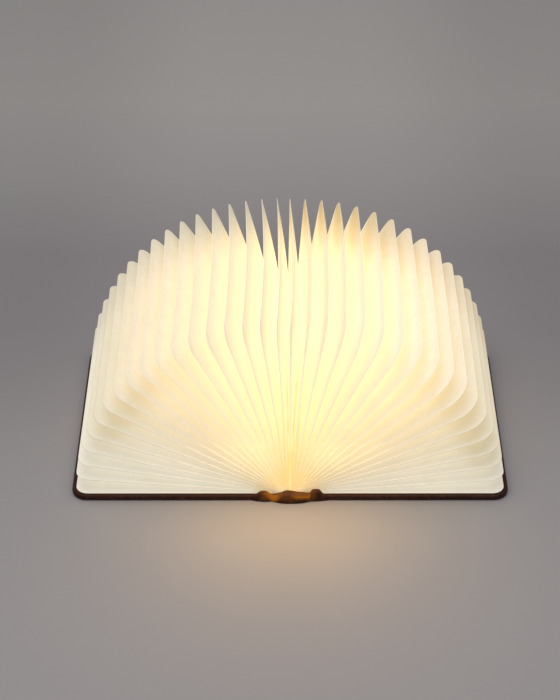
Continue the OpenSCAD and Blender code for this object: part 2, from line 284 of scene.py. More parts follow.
@dataclass(frozen=True)
class BarLight:
    """How the bar lights the paper.

    Radii and places are in metres, colours are linear, depths run from 0 at a ridge to 1 at a valley, and heights
    from 0 at the covers to 1 straight above the spine. A band is where an effect starts and where it is full.

    Attributes:
        least_radius: The radius below which places count as the bar itself.
        reach: The radius at which the tints end.
        tints: The light's colour by share of that radius.
        fold: How much further out a valley counts than it lies, against the fan's rim.
        ridge_share: How much of ridge_tint shows at a ridge, up to the end of ridge_depth.
        groove_dark: How much the bar's light is dimmed in the grooves above the spine, round middle_x, as painted
            shade.
        deep_tint: The light where the pages meet the bar.
        left_shade: How much lower the left-hand pages count than they lie.
        rim_tint: What the side light is multiplied by near the fan's rim.
        aloft: Where the light goes over from the side light to the bar's own.
        core_tint: The light beside the bar.
        ridge_gain: The light's strength at a ridge, which rises by rise over rising_depth.
        edge_gain: How much a ridge's very edge gains: the slope over edge_height, and the value below it.
        tip_left: The light at the back tips on the left.
        tip_right: The light at the back tips on the right.
        tip_amount: The share of the tips' light: the slope over tip_side, and the value in the middle.
        warm_share: How much painted yellow light tints the paper's colour at the tips round warm_x.
        warm_core: Where painted yellow light tints the paper's colour beside the bar.
        clear: Where the paper is free of the covers' shade.
    """

    least_radius: float = 0.001
    reach: float = 0.18
    tints: tuple[tuple[float, Colour], ...] = (
        (0.0, (0.31, 0.24, 0.10)),
        (0.14, (0.32, 0.22, 0.08)),
        (0.32, (0.44, 0.325, 0.155)),
        (0.55, (0.47, 0.345, 0.18)),
        (0.76, (0.475, 0.365, 0.20)),
        (0.88, (0.425, 0.31, 0.15)),
        (0.97, (0.385, 0.28, 0.135)),
    )
    fold: float = 0.046
    ridge_share: float = 0.3
    ridge_tint: Colour = (0.44, 0.40, 0.30)
    ridge_depth: Band = (0.0, 0.3)
    middle_x: float = 0.002
    middle: Band = (0.014, 0.004)
    groove_depth: Band = (0.3, 1.0)
    groove_radius: Band = (0.13, 0.08)
    groove_dark: float = 0.2
    deep_depth: Band = (0.4, 1.0)
    deep_radius: Band = (0.045, 0.02)
    deep_tint: Colour = (0.56, 0.46, 0.22)
    left_x: Band = (0.0, -0.08)
    left_shade: float = -0.14
    aloft: Band = (0.02, 0.75)
    top: Band = (0.152, 0.168)
    rim_height: Band = (0.08, 0.3)
    rim_tint: Colour = (0.82, 0.78, 0.62)
    core: Band = (0.036, 0.016)
    core_tint: Colour = (0.36, 0.26, 0.12)
    rising_depth: Band = (0.0, 0.2)
    rise: float = 0.10
    ridge_gain: float = 0.89
    edge_height: Band = (0.4, 0.8)
    edge_depth: Band = (0.012, 0.003)
    edge_gain: tuple[float, float] = (0.6, -0.2)
    tip_radius: Band = (0.138, 0.165)
    tip_y: Band = (0.02, 0.09)
    tip_x: Band = (0.01, -0.02)
    tip_side: Band = (0.07, 0.12)
    tip_amount: tuple[float, float] = (-0.4, 0.9)
    tip_right: Colour = (0.20, 0.11, 0.01)
    tip_left: Colour = (0.17, 0.14, 0.08)
    warm_x: float = 0.032
    warm_side: Band = (0.055, 0.015)
    warm_share: float = 0.7
    warm_core: Band = (0.036, 0.014)
    clear: Band = (0.3, 0.9)


class Effects:
    """The node groups that several finishes share, each built once."""

    def __init__(self) -> None:
        """Builds the groups."""
        self.glow = self._build_glow()
        self.grain = self._build_grain()
        self.mottle = self._build_mottle()

    @staticmethod
    def _build_glow() -> bpy.types.NodeTree:
        """Warm light of the bar on a page: strongest above the spine, fading outwards and towards the covers.

        Returns:
            A group from a place and a depth in the fold to a colour, to how yellow the light on the paper is, and to
            how far the place is from the covers.
        """
        w, given, out = new_group(
            "Bar light on paper",
            {"Place": "Vector", "Depth": "Float", "Side Light": "Color", "Fold Gain": "Float"},
            {"Color": "Color", "Warm": "Float", "Aloft": "Float"},
        )
        bar = BarLight()
        depth = given.outputs["Depth"]
        x, y, z = w.axes(given.outputs["Place"])
        flat = w.node("CombineXYZ")
        w.feed(flat.inputs[0], x)
        w.feed(flat.inputs[2], z)
        length = w.node("VectorMath", operation="LENGTH")
        w.feed(length.inputs[0], flat.outputs[0])
        radius = w.maths("MAXIMUM", length.outputs["Value"], bar.least_radius)
        upward = w.maths("DIVIDE", z, radius, clamp=True)
        tint = w.ramp(w.maths("DIVIDE", radius, bar.reach), bar.tints)
        ridge = w.blend_colour(bar.ridge_share, tint, bar.ridge_tint)
        outer = w.blend_colour(w.between(depth, *bar.ridge_depth), ridge, tint)
        middle = w.between(w.off(x, bar.middle_x), *bar.middle)
        # Painted shade: the bar's light is dimmed in the deep grooves above the spine.
        groove = w.product(w.between(depth, *bar.groove_depth), w.between(radius, *bar.groove_radius), middle)
        dimmed = w.darkened(outer, w.product(groove, bar.groove_dark))
        deep = w.product(w.between(depth, *bar.deep_depth), w.between(radius, *bar.deep_radius))
        inner = w.blend_colour(deep, dimmed, bar.deep_tint)
        shaded = w.maths("MULTIPLY_ADD", w.between(x, *bar.left_x), bar.left_shade, upward)
        top = w.between(w.maths("MULTIPLY_ADD", depth, bar.fold, radius), *bar.top)
        rim = w.product(top, w.between(shaded, *bar.rim_height))
        side = w.blend_colour(rim, given.outputs["Side Light"], bar.rim_tint, "MULTIPLY")
        spread = w.blend_colour(w.between(shaded, *bar.aloft), side, inner)
        lit = w.blend_colour(w.between(radius, *bar.core), spread, bar.core_tint)
        rising = w.maths("MULTIPLY_ADD", w.between(depth, *bar.rising_depth), bar.rise, bar.ridge_gain)
        edge = w.maths("MULTIPLY_ADD", w.between(upward, *bar.edge_height), *bar.edge_gain)
        evened = w.maths("MULTIPLY_ADD", w.between(depth, *bar.edge_depth), edge, rising)
        gain = w.maths("MULTIPLY_ADD", given.outputs["Fold Gain"], depth, evened)
        tips = w.product(w.between(radius, *bar.tip_radius), top, w.between(y, *bar.tip_y))
        last = w.blend_colour(w.between(x, *bar.tip_x), bar.tip_right, bar.tip_left)
        amount = w.maths("MULTIPLY_ADD", w.between(w.off(x), *bar.tip_side), *bar.tip_amount)
        fading = w.blend_colour(w.product(tips, amount), lit, last)
        warm = w.product(tips, w.between(w.off(x, bar.warm_x), *bar.warm_side), bar.warm_share)
        near = w.between(radius, *bar.warm_core)
        aloft = w.between(shaded, *bar.clear)
        w.fill(out, Color=w.scaled(fading, gain), Warm=w.maths("MAXIMUM", near, warm), Aloft=aloft)
        return w.tree

    @staticmethod
    def _build_grain() -> bpy.types.NodeTree:
        """Pebbled leather grain with fine wrinkles.

        Returns:
            A group from a place to a height and a crease mask.
        """
        w, given, out = new_group(
            "Leather grain", {"Place": "Vector", "Scale": "Float"}, {"Height": "Float", "Crease": "Float"}
        )
        place, scale = given.outputs["Place"], given.outputs["Scale"]
        warp = w.fill(w.node("TexNoise"), Vector=place, Scale=w.product(scale, 0.35))
        bent = w.node("VectorMath", operation="MULTIPLY_ADD")
        for socket, value in zip(bent.inputs, (warp.outputs["Color"], (1.6 * MM,) * 3, place)):
            w.feed(socket, value)
        pebble = w.fill(w.node("TexVoronoi", feature="DISTANCE_TO_EDGE"), Vector=bent.outputs[0], Scale=scale)
        rise = w.between(pebble.outputs["Distance"], 0.0, 0.22)
        height = w.maths("ADD", w.product(rise, 0.8), w.product(w.noise(place, 2600.0, 2.0), 0.2))
        w.fill(out, Height=height, Crease=w.maths("SUBTRACT", 1.0, rise))
        return w.tree

    @staticmethod
    def _build_mottle() -> bpy.types.NodeTree:
        """Slow and fine unevenness of a colour, for moulded, pressed and handled surfaces.

        Returns:
            A group from a place and a colour to a colour and a value.
        """
        w, given, out = new_group(
            "Uneven colour",
            {"Place": "Vector", "Color": "Color", "Amount": "Float", "Scale": "Float"},
            {"Color": "Color", "Value": "Float"},
        )
        colour = given.outputs["Color"]
        slow = w.node("TexNoise")
        w.fill(slow, Vector=given.outputs["Place"], Scale=given.outputs["Scale"], Detail=4.0)
        value = w.between(slow.outputs[0], 0.25, 0.75)
        darker = w.darkened(colour, given.outputs["Amount"])
        w.fill(out, Color=w.blend_colour(value, darker, colour), Value=value)
        return w.tree


@dataclass(frozen=True)
class Finish:
    """What every finish has.

    Attributes:
        name: The material's name.
        slot: The name of a material slot; nothing in this script reads it.
        colour: The main colour, linear.
        roughness: The mean roughness.
    """

    name: str
    slot: str
    colour: Colour
    roughness: float

    def start(self) -> tuple[bpy.types.Material, Wiring, bpy.types.Node]:
        """Makes the material with its Principled shader.

        Returns:
            The material, its wiring and its shader node.
        """
        material = bpy.data.materials.new(self.name)
        material.use_nodes = True
        wiring = Wiring(material.node_tree)
        shader = material.node_tree.nodes["Principled BSDF"]
        wiring.fill(shader, Base_Color=self.colour, Roughness=self.roughness)
        return material, wiring, shader

    def material(self, effects: Effects) -> bpy.types.Material:
        """The finished material; each kind of finish makes its own."""
        raise NotImplementedError


@dataclass(frozen=True)
class PaperFinish(Finish):
    """Bonded-fibre paper lit from inside.

    Attributes:
        side_light: The light that reaches the pages near the covers.
        fold_gain: How much brighter a page is at its valley, nearer the bar.
        ridge_colour: The painted highlight along a ridge's crease.
        near_colour: The paper's colour under painted yellow light, beside the bar and at the back tips.
        crease: The depths between which a ridge's crease fades in.
        fibre_scale: Fibres per length of a page.
        clouds: The strength of the light where the fibres lie thick and thin.
        low_shade: How much painted shade darkens the paper near the covers.
    """

    side_light: Colour = (0.415, 0.38, 0.305)
    fold_gain: float = 0.15
    ridge_colour: Colour = (0.74, 0.72, 0.67)
    near_colour: Colour = (0.74, 0.66, 0.44)
    # crease: The depths between which the painted highlight on a ridge's crease fades in.
    crease: Band = (0.03, 0.005)
    fibre_scale: float = 60.0
    clouds: Band = (0.9, 1.08)
    low_shade: float = 0.25

    def material(self, effects: Effects) -> bpy.types.Material:
        """Fibres and the painted highlight on the ridges' creases from the page's own UV map, and the bar's light,
        painted yellow light and painted shade from Object coordinates.

        Args:
            effects: The shared node groups.

        Returns:
            The material.
        """
        material, w, shader = self.start()
        place = w.place()
        page = w.node("UVMap", uv_map="page").outputs[0]
        depth = w.axes(page)[1]
        fibres = w.noise(page, self.fibre_scale, 6.0, 0.65)
        uneven = w.group(effects.mottle, Place=place, Color=self.colour, Amount=0.06, Scale=160.0)
        glow = w.group(
            effects.glow, Place=place, Depth=depth, Side_Light=self.side_light, Fold_Gain=self.fold_gain
        )
        # Painted yellow light: the base colour turns yellow beside the bar and at the back tips.
        colour = w.blend_colour(glow.outputs["Warm"], uneven.outputs["Color"], self.near_colour)
        # Painted highlight: a paler colour along each ridge's crease.
        ridge_highlighted = w.blend_colour(w.between(depth, *self.crease), colour, self.ridge_colour)
        # Painted shade: the base colour is darker near the covers.
        shaded = w.blend_colour(glow.outputs["Aloft"], w.darkened(ridge_highlighted, self.low_shade), ridge_highlighted)
        cloudy = w.spread(w.noise(place, 45.0), *self.clouds)
        w.fill(
            shader,
            Base_Color=shaded,
            Roughness=w.spread(fibres, self.roughness - 0.1, self.roughness + 0.1),
            Normal=w.bump(fibres, 0.25, 0.2 * MM),
            Specular_IOR_Level=0.25,
            Emission_Color=w.scaled(glow.outputs["Color"], cloudy),
            Emission_Strength=1.0,
        )
        return material


@dataclass(frozen=True)
class LeatherFinish(Finish):
    """Bonded leather with pressed grain, paler along its edges.

    Attributes:
        worn: The paler colour along the edges.
        grain_scale: Pebbles per metre.
        spill: The light of the bar where it falls straight on the leather.
        crease: The colour between the pebbles.
        side_wear: Where the paler colour of the fore-edges starts and is full, in metres from the middle.
        end_wear: Where the paler colour of the ends starts and is full.
    """

    worn: Colour = (0.12, 0.055, 0.035)
    grain_scale: float = 900.0
    spill: Colour = (0.27, 0.08, 0.002)
    crease: Colour = (0.006, 0.003, 0.002)
    side_wear: Band = (0.1795, 0.1826)
    end_wear: Band = (0.1050, 0.1078)

    def material(self, effects: Effects) -> bpy.types.Material:
        """Grain, unevenness and paler edges from Object coordinates.

        Args:
            effects: The shared node groups.

        Returns:
            The material.
        """
        material, w, shader = self.start()
        place = w.place()
        grain = w.group(effects.grain, Place=place, Scale=self.grain_scale)
        uneven = w.group(effects.mottle, Place=place, Color=self.colour, Amount=0.35, Scale=55.0)
        x, y, _ = w.axes(place)
        # The edges are paler, in patches.
        edges = w.maths("MAXIMUM", w.between(w.off(x), *self.side_wear), w.between(w.off(y), *self.end_wear))
        patchy_edges = w.product(edges, w.between(w.noise(place, 240.0, 4.0), 0.45, 0.75))
        colour = w.blend_colour(w.product(patchy_edges, 0.6), uneven.outputs["Color"], self.worn)
        lit = w.node("Attribute", attribute_name="lit").outputs["Fac"]
        w.fill(
            shader,
            Base_Color=w.blend_colour(w.product(grain.outputs["Crease"], 0.45), colour, self.crease),
            Roughness=w.spread(uneven.outputs["Value"], self.roughness - 0.07, self.roughness + 0.08),
            Normal=w.bump(grain.outputs["Height"], 0.5, 0.18 * MM),
            Specular_IOR_Level=0.18,
            Emission_Color=w.blend_colour(lit, BLACK, self.spill),
            Emission_Strength=1.0,
        )
        return material


@dataclass(frozen=True)
class MouldedFinish(Finish):
    """Moulded plastic, resin, felt or board: an uneven colour with a fine surface.

    Attributes:
        amount: How uneven the colour is.
        scale: The size of the unevenness, per metre.
        texture_scale: The size of the surface's texture, per metre.
        relief: The strength of that texture.
        glow: The light that the surface gives, or None: the lamp's own light on the diffuser and the diodes, and
            painted light from the bar on the felt.
        glass: The share of light that goes through.
        metal: The surface's metalness.
    """

    amount: float = 0.12
    scale: float = 120.0
    texture_scale: float = 1800.0
    relief: float = 0.15
    glow: Colour | None = None
    glass: float = 0.0
    metal: float = 0.0

    def material(self, effects: Effects) -> bpy.types.Material:
        """Uneven colour, roughness and relief from Object coordinates.

        Args:
            effects: The shared node groups.

        Returns:
            The material.
        """
        material, w, shader = self.start()
        place = w.place()
        uneven = w.group(effects.mottle, Place=place, Color=self.colour, Amount=self.amount, Scale=self.scale)
        fine = w.noise(place, self.texture_scale)
        w.fill(
            shader,
            Base_Color=uneven.outputs["Color"],
            Roughness=w.spread(fine, max(self.roughness - 0.08, 0.02), self.roughness + 0.08),
            Normal=w.bump(fine, self.relief, 0.1 * MM),
            Metallic=self.metal,
            Transmission_Weight=self.glass,
        )
        if self.glow is not None:
            glow = w.darkened(self.glow, w.spread(fine, 0.0, 0.12))
            w.fill(shader, Emission_Color=glow, Emission_Strength=1.0)
        return material


@dataclass(frozen=True)
class BrushedFinish(Finish):
    """Metal with fine drawn lines along the spine."""

    def material(self, effects: Effects) -> bpy.types.Material:
        """Lines from stretched Object coordinates.

        Args:
            effects: The shared node groups.

        Returns:
            The material.
        """
        material, w, shader = self.start()
        place = w.place()
        drawn = w.fill(w.node("Mapping"), Vector=place, Scale=(1.0, 0.05, 1.0))
        lines = w.noise(drawn.outputs[0], 3200.0, 4.0)
        uneven = w.group(effects.mottle, Place=place, Color=self.colour, Amount=0.2, Scale=300.0)
        w.fill(
            shader,
            Base_Color=uneven.outputs["Color"],
            Roughness=w.spread(lines, self.roughness - 0.1, self.roughness + 0.12),
            Normal=w.bump(lines, 0.15, 0.05 * MM),
            Metallic=1.0,
        )
        return material


@dataclass(frozen=True)
class BoardFinish(Finish):
    """Lacquered circuit board with fine copper tracks that show through the lacquer.

    Attributes:
        track: The colour of a track.
    """

    track: Colour = (0.09, 0.30, 0.12)

    def material(self, effects: Effects) -> bpy.types.Material:
        """Tracks from a Brick texture on Object coordinates.

        Args:
            effects: The shared node groups.

        Returns:
            The material.
        """
        material, w, shader = self.start()
        place = w.place()
        bricks = w.node("TexBrick")
        w.fill(bricks, Vector=place, Scale=260.0, Mortar_Size=0.06, Brick_Width=0.9, Row_Height=0.45)
        tracks = bricks.outputs["Fac"]
        uneven = w.group(effects.mottle, Place=place, Color=self.colour, Amount=0.15, Scale=400.0)
        w.fill(
            shader,
            Base_Color=w.blend_colour(w.product(tracks, 0.7), uneven.outputs["Color"], self.track),
            Roughness=w.spread(uneven.outputs["Value"], self.roughness - 0.05, self.roughness + 0.08),
            Normal=w.bump(tracks, 0.3, 0.04 * MM),
        )
        return material


class Finishes:
    """Every finish of the lamp, each made into one material on first use."""

    LEATHER = LeatherFinish("brown_leather", "leather", (0.050, 0.0118, 0.0042), 0.55)
    PAPER = PaperFinish("page_paper", "page_paper", (0.72, 0.71, 0.66), 0.7)
    # The glued pages: page paper with weaker painted light from the bar, and a slightly paler colour.
    FLAT_PAPER = PaperFinish(
        "glued_page_paper", "page_paper", (0.74, 0.73, 0.69), 0.7, side_light=(0.20, 0.20, 0.18)
    )
    INNER: dict[str, Finish] = {
        "spine_strip": MouldedFinish(
            "grey_board_strip", "greyboard", (0.25, 0.18, 0.11), 0.85, amount=0.3, relief=0.5
        ),
        "left_cover_board": MouldedFinish(
            "grey_board", "greyboard", (0.25, 0.18, 0.11), 0.85, amount=0.3, relief=0.5
        ),
        "front_end_block": MouldedFinish(
            "former_board", "former_board", (0.07, 0.05, 0.04), 0.85, amount=0.3, relief=0.5
        ),
        # Painted light: the felt rails glow with the bar's light beside them.
        "page_anchors": MouldedFinish(
            "cream_felt", "felt", (0.68, 0.63, 0.52), 0.95,
            amount=0.25, texture_scale=1400.0, relief=0.9, glow=(0.75, 0.50, 0.18),
        ),
        "light_bar_housing": MouldedFinish("cream_plastic", "cream_plastic", (0.80, 0.76, 0.66), 0.42),
        "diffuser": MouldedFinish(
            "milky_plastic", "milky_plastic", (0.90, 0.86, 0.74), 0.38, amount=0.04, glow=(1.0, 0.80, 0.42)
        ),
        "led_board": MouldedFinish("white_aluminium", "white_aluminium", (0.82, 0.82, 0.79), 0.35, amount=0.08),
        "leds": MouldedFinish(
            "diode_resin", "diode_resin", (0.86, 0.66, 0.14), 0.25, amount=0.1, glow=(1.0, 0.72, 0.22)
        ),
        "battery_cell": MouldedFinish(
            "cell_pouch", "cell_pouch", (0.20, 0.25, 0.29), 0.35, amount=0.2, scale=200.0, relief=0.4, metal=0.6
        ),
        "control_board": BoardFinish("board_green", "board_green", (0.02, 0.12, 0.05), 0.35),
        "reed_switch": MouldedFinish(
            "reed_glass", "reed_glass", (0.42, 0.66, 0.58), 0.08, amount=0.1, relief=0.05, glass=0.6
        ),
        "charging_socket": BrushedFinish("socket_steel", "socket_steel", (0.60, 0.60, 0.58), 0.32),
        "housing_screws": BrushedFinish("screw_steel", "screw_steel", (0.50, 0.50, 0.49), 0.35),
        "left_cover_magnets": BrushedFinish("magnet_nickel", "magnet_nickel", (0.62, 0.60, 0.55), 0.25),
        "battery_leads": MouldedFinish("lead_red", "lead_red", (0.48, 0.06, 0.03), 0.4, amount=0.1),
        "socket_leads": MouldedFinish("lead_grey", "lead_grey", (0.05, 0.05, 0.055), 0.4, amount=0.1),
    }
    SAME_AS = {
        "right_cover_board": "left_cover_board",
        "back_end_block": "front_end_block",
        "right_cover_magnets": "left_cover_magnets",
    }

    def __init__(self) -> None:
        """Builds the shared node groups."""
        self.effects = Effects()
        self._made: dict[str, bpy.types.Material] = {}

    def get(self, finish: Finish) -> bpy.types.Material:
        """The material of a finish, made once."""
        if finish.name not in self._made:
            self._made[finish.name] = finish.material(self.effects)
        return self._made[finish.name]


def linked(name: str, data: bpy.types.ID) -> bpy.types.Object:
    """A new object with its data, linked to the scene."""
    made = bpy.data.objects.new(name, data)
    bpy.context.scene.collection.objects.link(made)
    return made


class Maker:
    """Turns bmeshes into dressed pieces.

    Args:
        finishes: Where materials come from.
    """

    def __init__(self, finishes: Finishes) -> None:
        """Keeps the finishes."""
        self.finishes = finishes
        self.count = 0

    def piece(
        self, name: str, bm: bmesh.types.BMesh, finish: Finish, smooth_under: float = 35.0
    ) -> bpy.types.Object:
        """Makes an object at the origin from a bmesh.

        Args:
            name: The piece's name.
            bm: Its shape, in the lamp's frame; it is freed.
            finish: Its finish.
            smooth_under: Edges that turn by more degrees than this stay sharp.

        Returns:
            The object, linked to the scene.
        """
        mesh = bpy.data.meshes.new(name)
        bm.to_mesh(mesh)
        bm.free()
        mesh.shade_smooth()
        mesh.set_sharp_from_angle(angle=math.radians(smooth_under))
        mesh.materials.append(self.finishes.get(finish))
        made = linked(name, mesh)
        self.count += 1
        log.info("%s: %d faces, %s", name, len(mesh.polygons), finish.name)
        return made


def reshape(bm: bmesh.types.BMesh, place: Callable[[Vector], Vector]) -> None:
    """Moves every vertex to where a formula puts it.

    Args:
        bm: The mesh.
        place: From a vertex's place to its new place.
    """
    for vertex in bm.verts:
        vertex.co = place(vertex.co)


def limited(value: float, low: float = 0.0, high: float = 1.0) -> float:
    """A value held between two others."""
    return min(max(value, low), high)


def smooth(value: float, low: float, high: float) -> float:
    """A smooth step from 0 at low to 1 at high."""
    t = limited((value - low) / (high - low))
    return t * t * (3 - 2 * t)


def peak(value: float, centre: float, half_width: float) -> float:
    """A straight rise to 1 at a centre and fall back to 0."""
    return max(0.0, 1 - abs(value - centre) / half_width)


def round_off(bm: bmesh.types.BMesh, geom: list, offset: float, segments: int, affect: str = "EDGES") -> None:
    """Rounds edges or corners."""
    bmesh.ops.bevel(bm, geom=geom, offset=offset, segments=segments, profile=0.5, affect=affect, material=-1)


def box(size: tuple[float, float, float], x: float) -> bmesh.types.BMesh:
    """A box that stands on the floor.

    Args:
        size: Its width, length and height.
        x: The place of its middle across the spine.

    Returns:
        The box.
    """
    bm = bmesh.new()
    bmesh.ops.create_cube(bm, size=1.0)
    bmesh.ops.scale(bm, vec=size, verts=bm.verts)
    bmesh.ops.translate(bm, vec=(x, 0, size[2] / 2), verts=bm.verts)
    return bm


def tube_grid(rows: int, columns: int, place: Callable[[float, float], Vector]) -> bmesh.types.BMesh:
    """A closed shell from a grid that is rolled into a tube and capped at both ends.

    Args:
        rows: Steps along the tube.
        columns: Steps round its section.
        place: From the share along and the share round to a place.

    Returns:
        The shell.
    """
    bm = bmesh.new()
    bmesh.ops.create_grid(bm, x_segments=rows, y_segments=columns, size=0.5)
    reshape(bm, lambda v: place(limited(v.x + 0.5), limited(v.y + 0.5)))
    bmesh.ops.remove_doubles(bm, verts=bm.verts, dist=1e-7)
    bmesh.ops.holes_fill(bm, edges=bm.edges, sides=0)
    bmesh.ops.recalc_face_normals(bm, faces=bm.faces)
    return bm


@dataclass
class PageFan:
    """The pleated pages, each pleat shown by the sheets on either side of its ridge.

    A place in the fan runs from 0 for the upright ridge to 1 for the one on the cover.

    Attributes:
        maker: Makes the pieces.
        pleats: Pleats between the upright one and each cover.
        hinge_x: The fold line's distance from the middle.
        fold_z: The fold line's height.
        last_offset: How far the last page lies off the fold line; the upright one lies hinge_x off it.
        top_reach: How far the upright page reaches from the fold line.
        side_reach: How far the last page reaches.
        half: Half of a page's length along the spine.
        depth: The depth of a pleat, from ridge to valley.
        page_r: The radius of a page's corners.
        slack_r: How much rounder the front and the back corner are on the right.
        slack_from: The part of the fan beside the cover over which that slackness dies away.
        valley_r: The radius of a valley's corners.
        paper: The paper's thickness.
        straight_steps: Steps along a straight edge.
        arc_steps: Steps round half a corner.
        depth_steps: Steps from ridge to valley.
        row_power: How closely those steps crowd towards the ridge.
        wander: How far a valley strays, as a share of a step.
        bow: How far the middle of the upright page bows sideways.
        crowding: How far the ridges on the left crowd towards the upright one, as a share of a step.
        waving: How far the ridges on the right lie off even spacing.
        crowd_power: Where the crowding is strongest.
        wave_power: Where the spacing on the right swells.
        bulge: How far a page bows between ridge and valley, as a share of its own lean.
        inner_bulge: How much of that the pages on the right show on their inner side.
        bulge_from: Pleats from the upright one to the first with its whole bulge.
        bulge_range: How much that differs from page to page.
        curl: How far a valley turns towards the right at its back end, as a share of a step.
        leaning: How far a valley lies past the middle of its step.
        rail_top: The height that the pages' inner ends clear.
        least_start: How far below the fold line a page may begin.
        steepest: The place in the fan beyond which a page's start stays as it is.
        glued_thickness: The thickness of the glued page with its glue.
        seed: Starts the chance for the pages' small differences.
    """

    maker: Maker
    pleats: dict[Side, int] = field(default_factory=lambda: {Side.LEFT: 18, Side.RIGHT: 17})
    hinge_x: float = 11.5 * MM
    fold_z: float = 1.5 * MM
    last_offset: float = 3.8 * MM
    top_reach: float = 170.0 * MM
    side_reach: float = 167.5 * MM
    half: float = 104.0 * MM
    depth: float = 46.0 * MM
    page_r: float = 10.0 * MM
    slack_r: Band = (12.0 * MM, 2.0 * MM)
    slack_from: float = 0.35
    valley_r: float = 20.0 * MM
    paper: float = 0.2 * MM
    straight_steps: int = 14
    arc_steps: int = 4
    depth_steps: int = 8
    row_power: float = 1.4
    wander: float = 0.06
    bow: float = 3.0 * MM
    crowding: float = 0.7
    waving: float = 0.32
    crowd_power: float = 0.7
    wave_power: float = 0.85
    bulge: dict[Side, float] = field(default_factory=lambda: {Side.LEFT: -0.12, Side.RIGHT: 0.6})
    inner_bulge: float = 0.2
    bulge_from: int = 3
    bulge_range: Band = (0.8, 1.2)
    curl: dict[Side, float] = field(default_factory=lambda: {Side.LEFT: -0.28, Side.RIGHT: 0.42})
    leaning: dict[Side, float] = field(default_factory=lambda: {Side.LEFT: 0.0, Side.RIGHT: 0.25})
    rail_top: float = 2.9 * MM
    least_start: float = -1.2 * MM
    steepest: float = 0.98
    glued_thickness: float = 0.25 * MM
    seed: int = 4

    def turn(self, side: Side, index: int) -> float:
        """A ridge's place in the fan, from 0 for the upright one to 1 for the one on the cover."""
        count = self.pleats[side]
        u = index / count
        if side is Side.LEFT:
            return u - self.crowding / count * (1 - u) * math.sin(math.pi * u**self.crowd_power)
        return u - self.waving / count * math.sin(2 * math.pi * u**self.wave_power)

    def offset(self, u: float) -> float:
        """How far a page lies off the fold line."""
        return self.hinge_x + (self.last_offset - self.hinge_x) * u

    def point(self, side: Side, u: float, a: float, y: float) -> Vector:
        """A place on a page.

        Args:
            side: The half of the fan.
            u: 0 for the upright page and 1 for the one on the cover.
            a: The distance from the fold line.
            y: The place along the spine.

        Returns:
            The place in the lamp's frame.
        """
        offset = self.offset(u)
        turn = math.pi / 2 * u
        x = self.hinge_x - offset * math.cos(turn) + a * math.sin(turn)
        z = self.fold_z + offset * math.sin(turn) + a * math.cos(turn)
        bow = self.bow * math.cos(math.pi / 2 * y / self.half) * max(0.0, 1 - u) * (a / self.top_reach) ** 2
        return Vector((side.value * x + bow * math.cos(turn), y, z - side.value * bow * math.sin(turn)))

    def reach(self, u: float) -> float:
        """How far a page reaches from the fold line."""
        return self.top_reach + (self.side_reach - self.top_reach) * u

    def start(self, u: float) -> float:
        """Where a page's inner end lies, from the fold line, so that it clears the felt rails and the spine."""
        turn = math.pi / 2 * min(u, self.steepest)
        return max(self.least_start, (self.rail_top - self.offset(u) * math.sin(turn)) / math.cos(turn))

    def radii(self, side: Side, u: float) -> list[float]:
        """The radii of a ridge's front and back corner, larger on the right, where the pages hang slacker."""
        slack = min(1.0, (1 - u) / self.slack_from) if side is Side.RIGHT else 0.0
        return [self.page_r + more * slack for more in self.slack_r]

    def rim(self, leg: Leg, u: float, inset: float, radii: list[float]) -> list[tuple[float, float]]:
        """Points along one leg of a ridge or valley.

        Args:
            leg: The leg.
            u: The ridge's or valley's place in the fan.
            inset: The distance from the page's edge.
            radii: The radii of the front and the back corner.

        Returns:
            Pairs of distance from the fold line and place along the spine.
        """
        far, wide = self.reach(u) - inset, self.half - inset
        corner = [math.radians(45.0 * i / self.arc_steps) for i in range(self.arc_steps + 1)]
        if leg is Leg.TOP:
            front, back = (
                [(far - r * (1 - math.cos(t)), wide - r * (1 - math.sin(t))) for t in reversed(corner[1:])]
                for r in radii
            )
            low, high = radii[0] - wide, wide - radii[1]
            flat = [(far, low + (high - low) * i / self.straight_steps) for i in range(self.straight_steps + 1)]
            return [(a, -y) for a, y in front] + flat + list(reversed(back))
        sign, radius = (-1, radii[0]) if leg is Leg.FRONT else (1, radii[1])
        begin, ends = self.start(u), far - radius
        line = [(begin + (ends - begin) * i / self.straight_steps, wide) for i in range(self.straight_steps)]
        arc = [(far - radius * (1 - math.sin(t)), wide - radius * (1 - math.cos(t))) for t in corner]
        return [(a, sign * y) for a, y in line + arc]

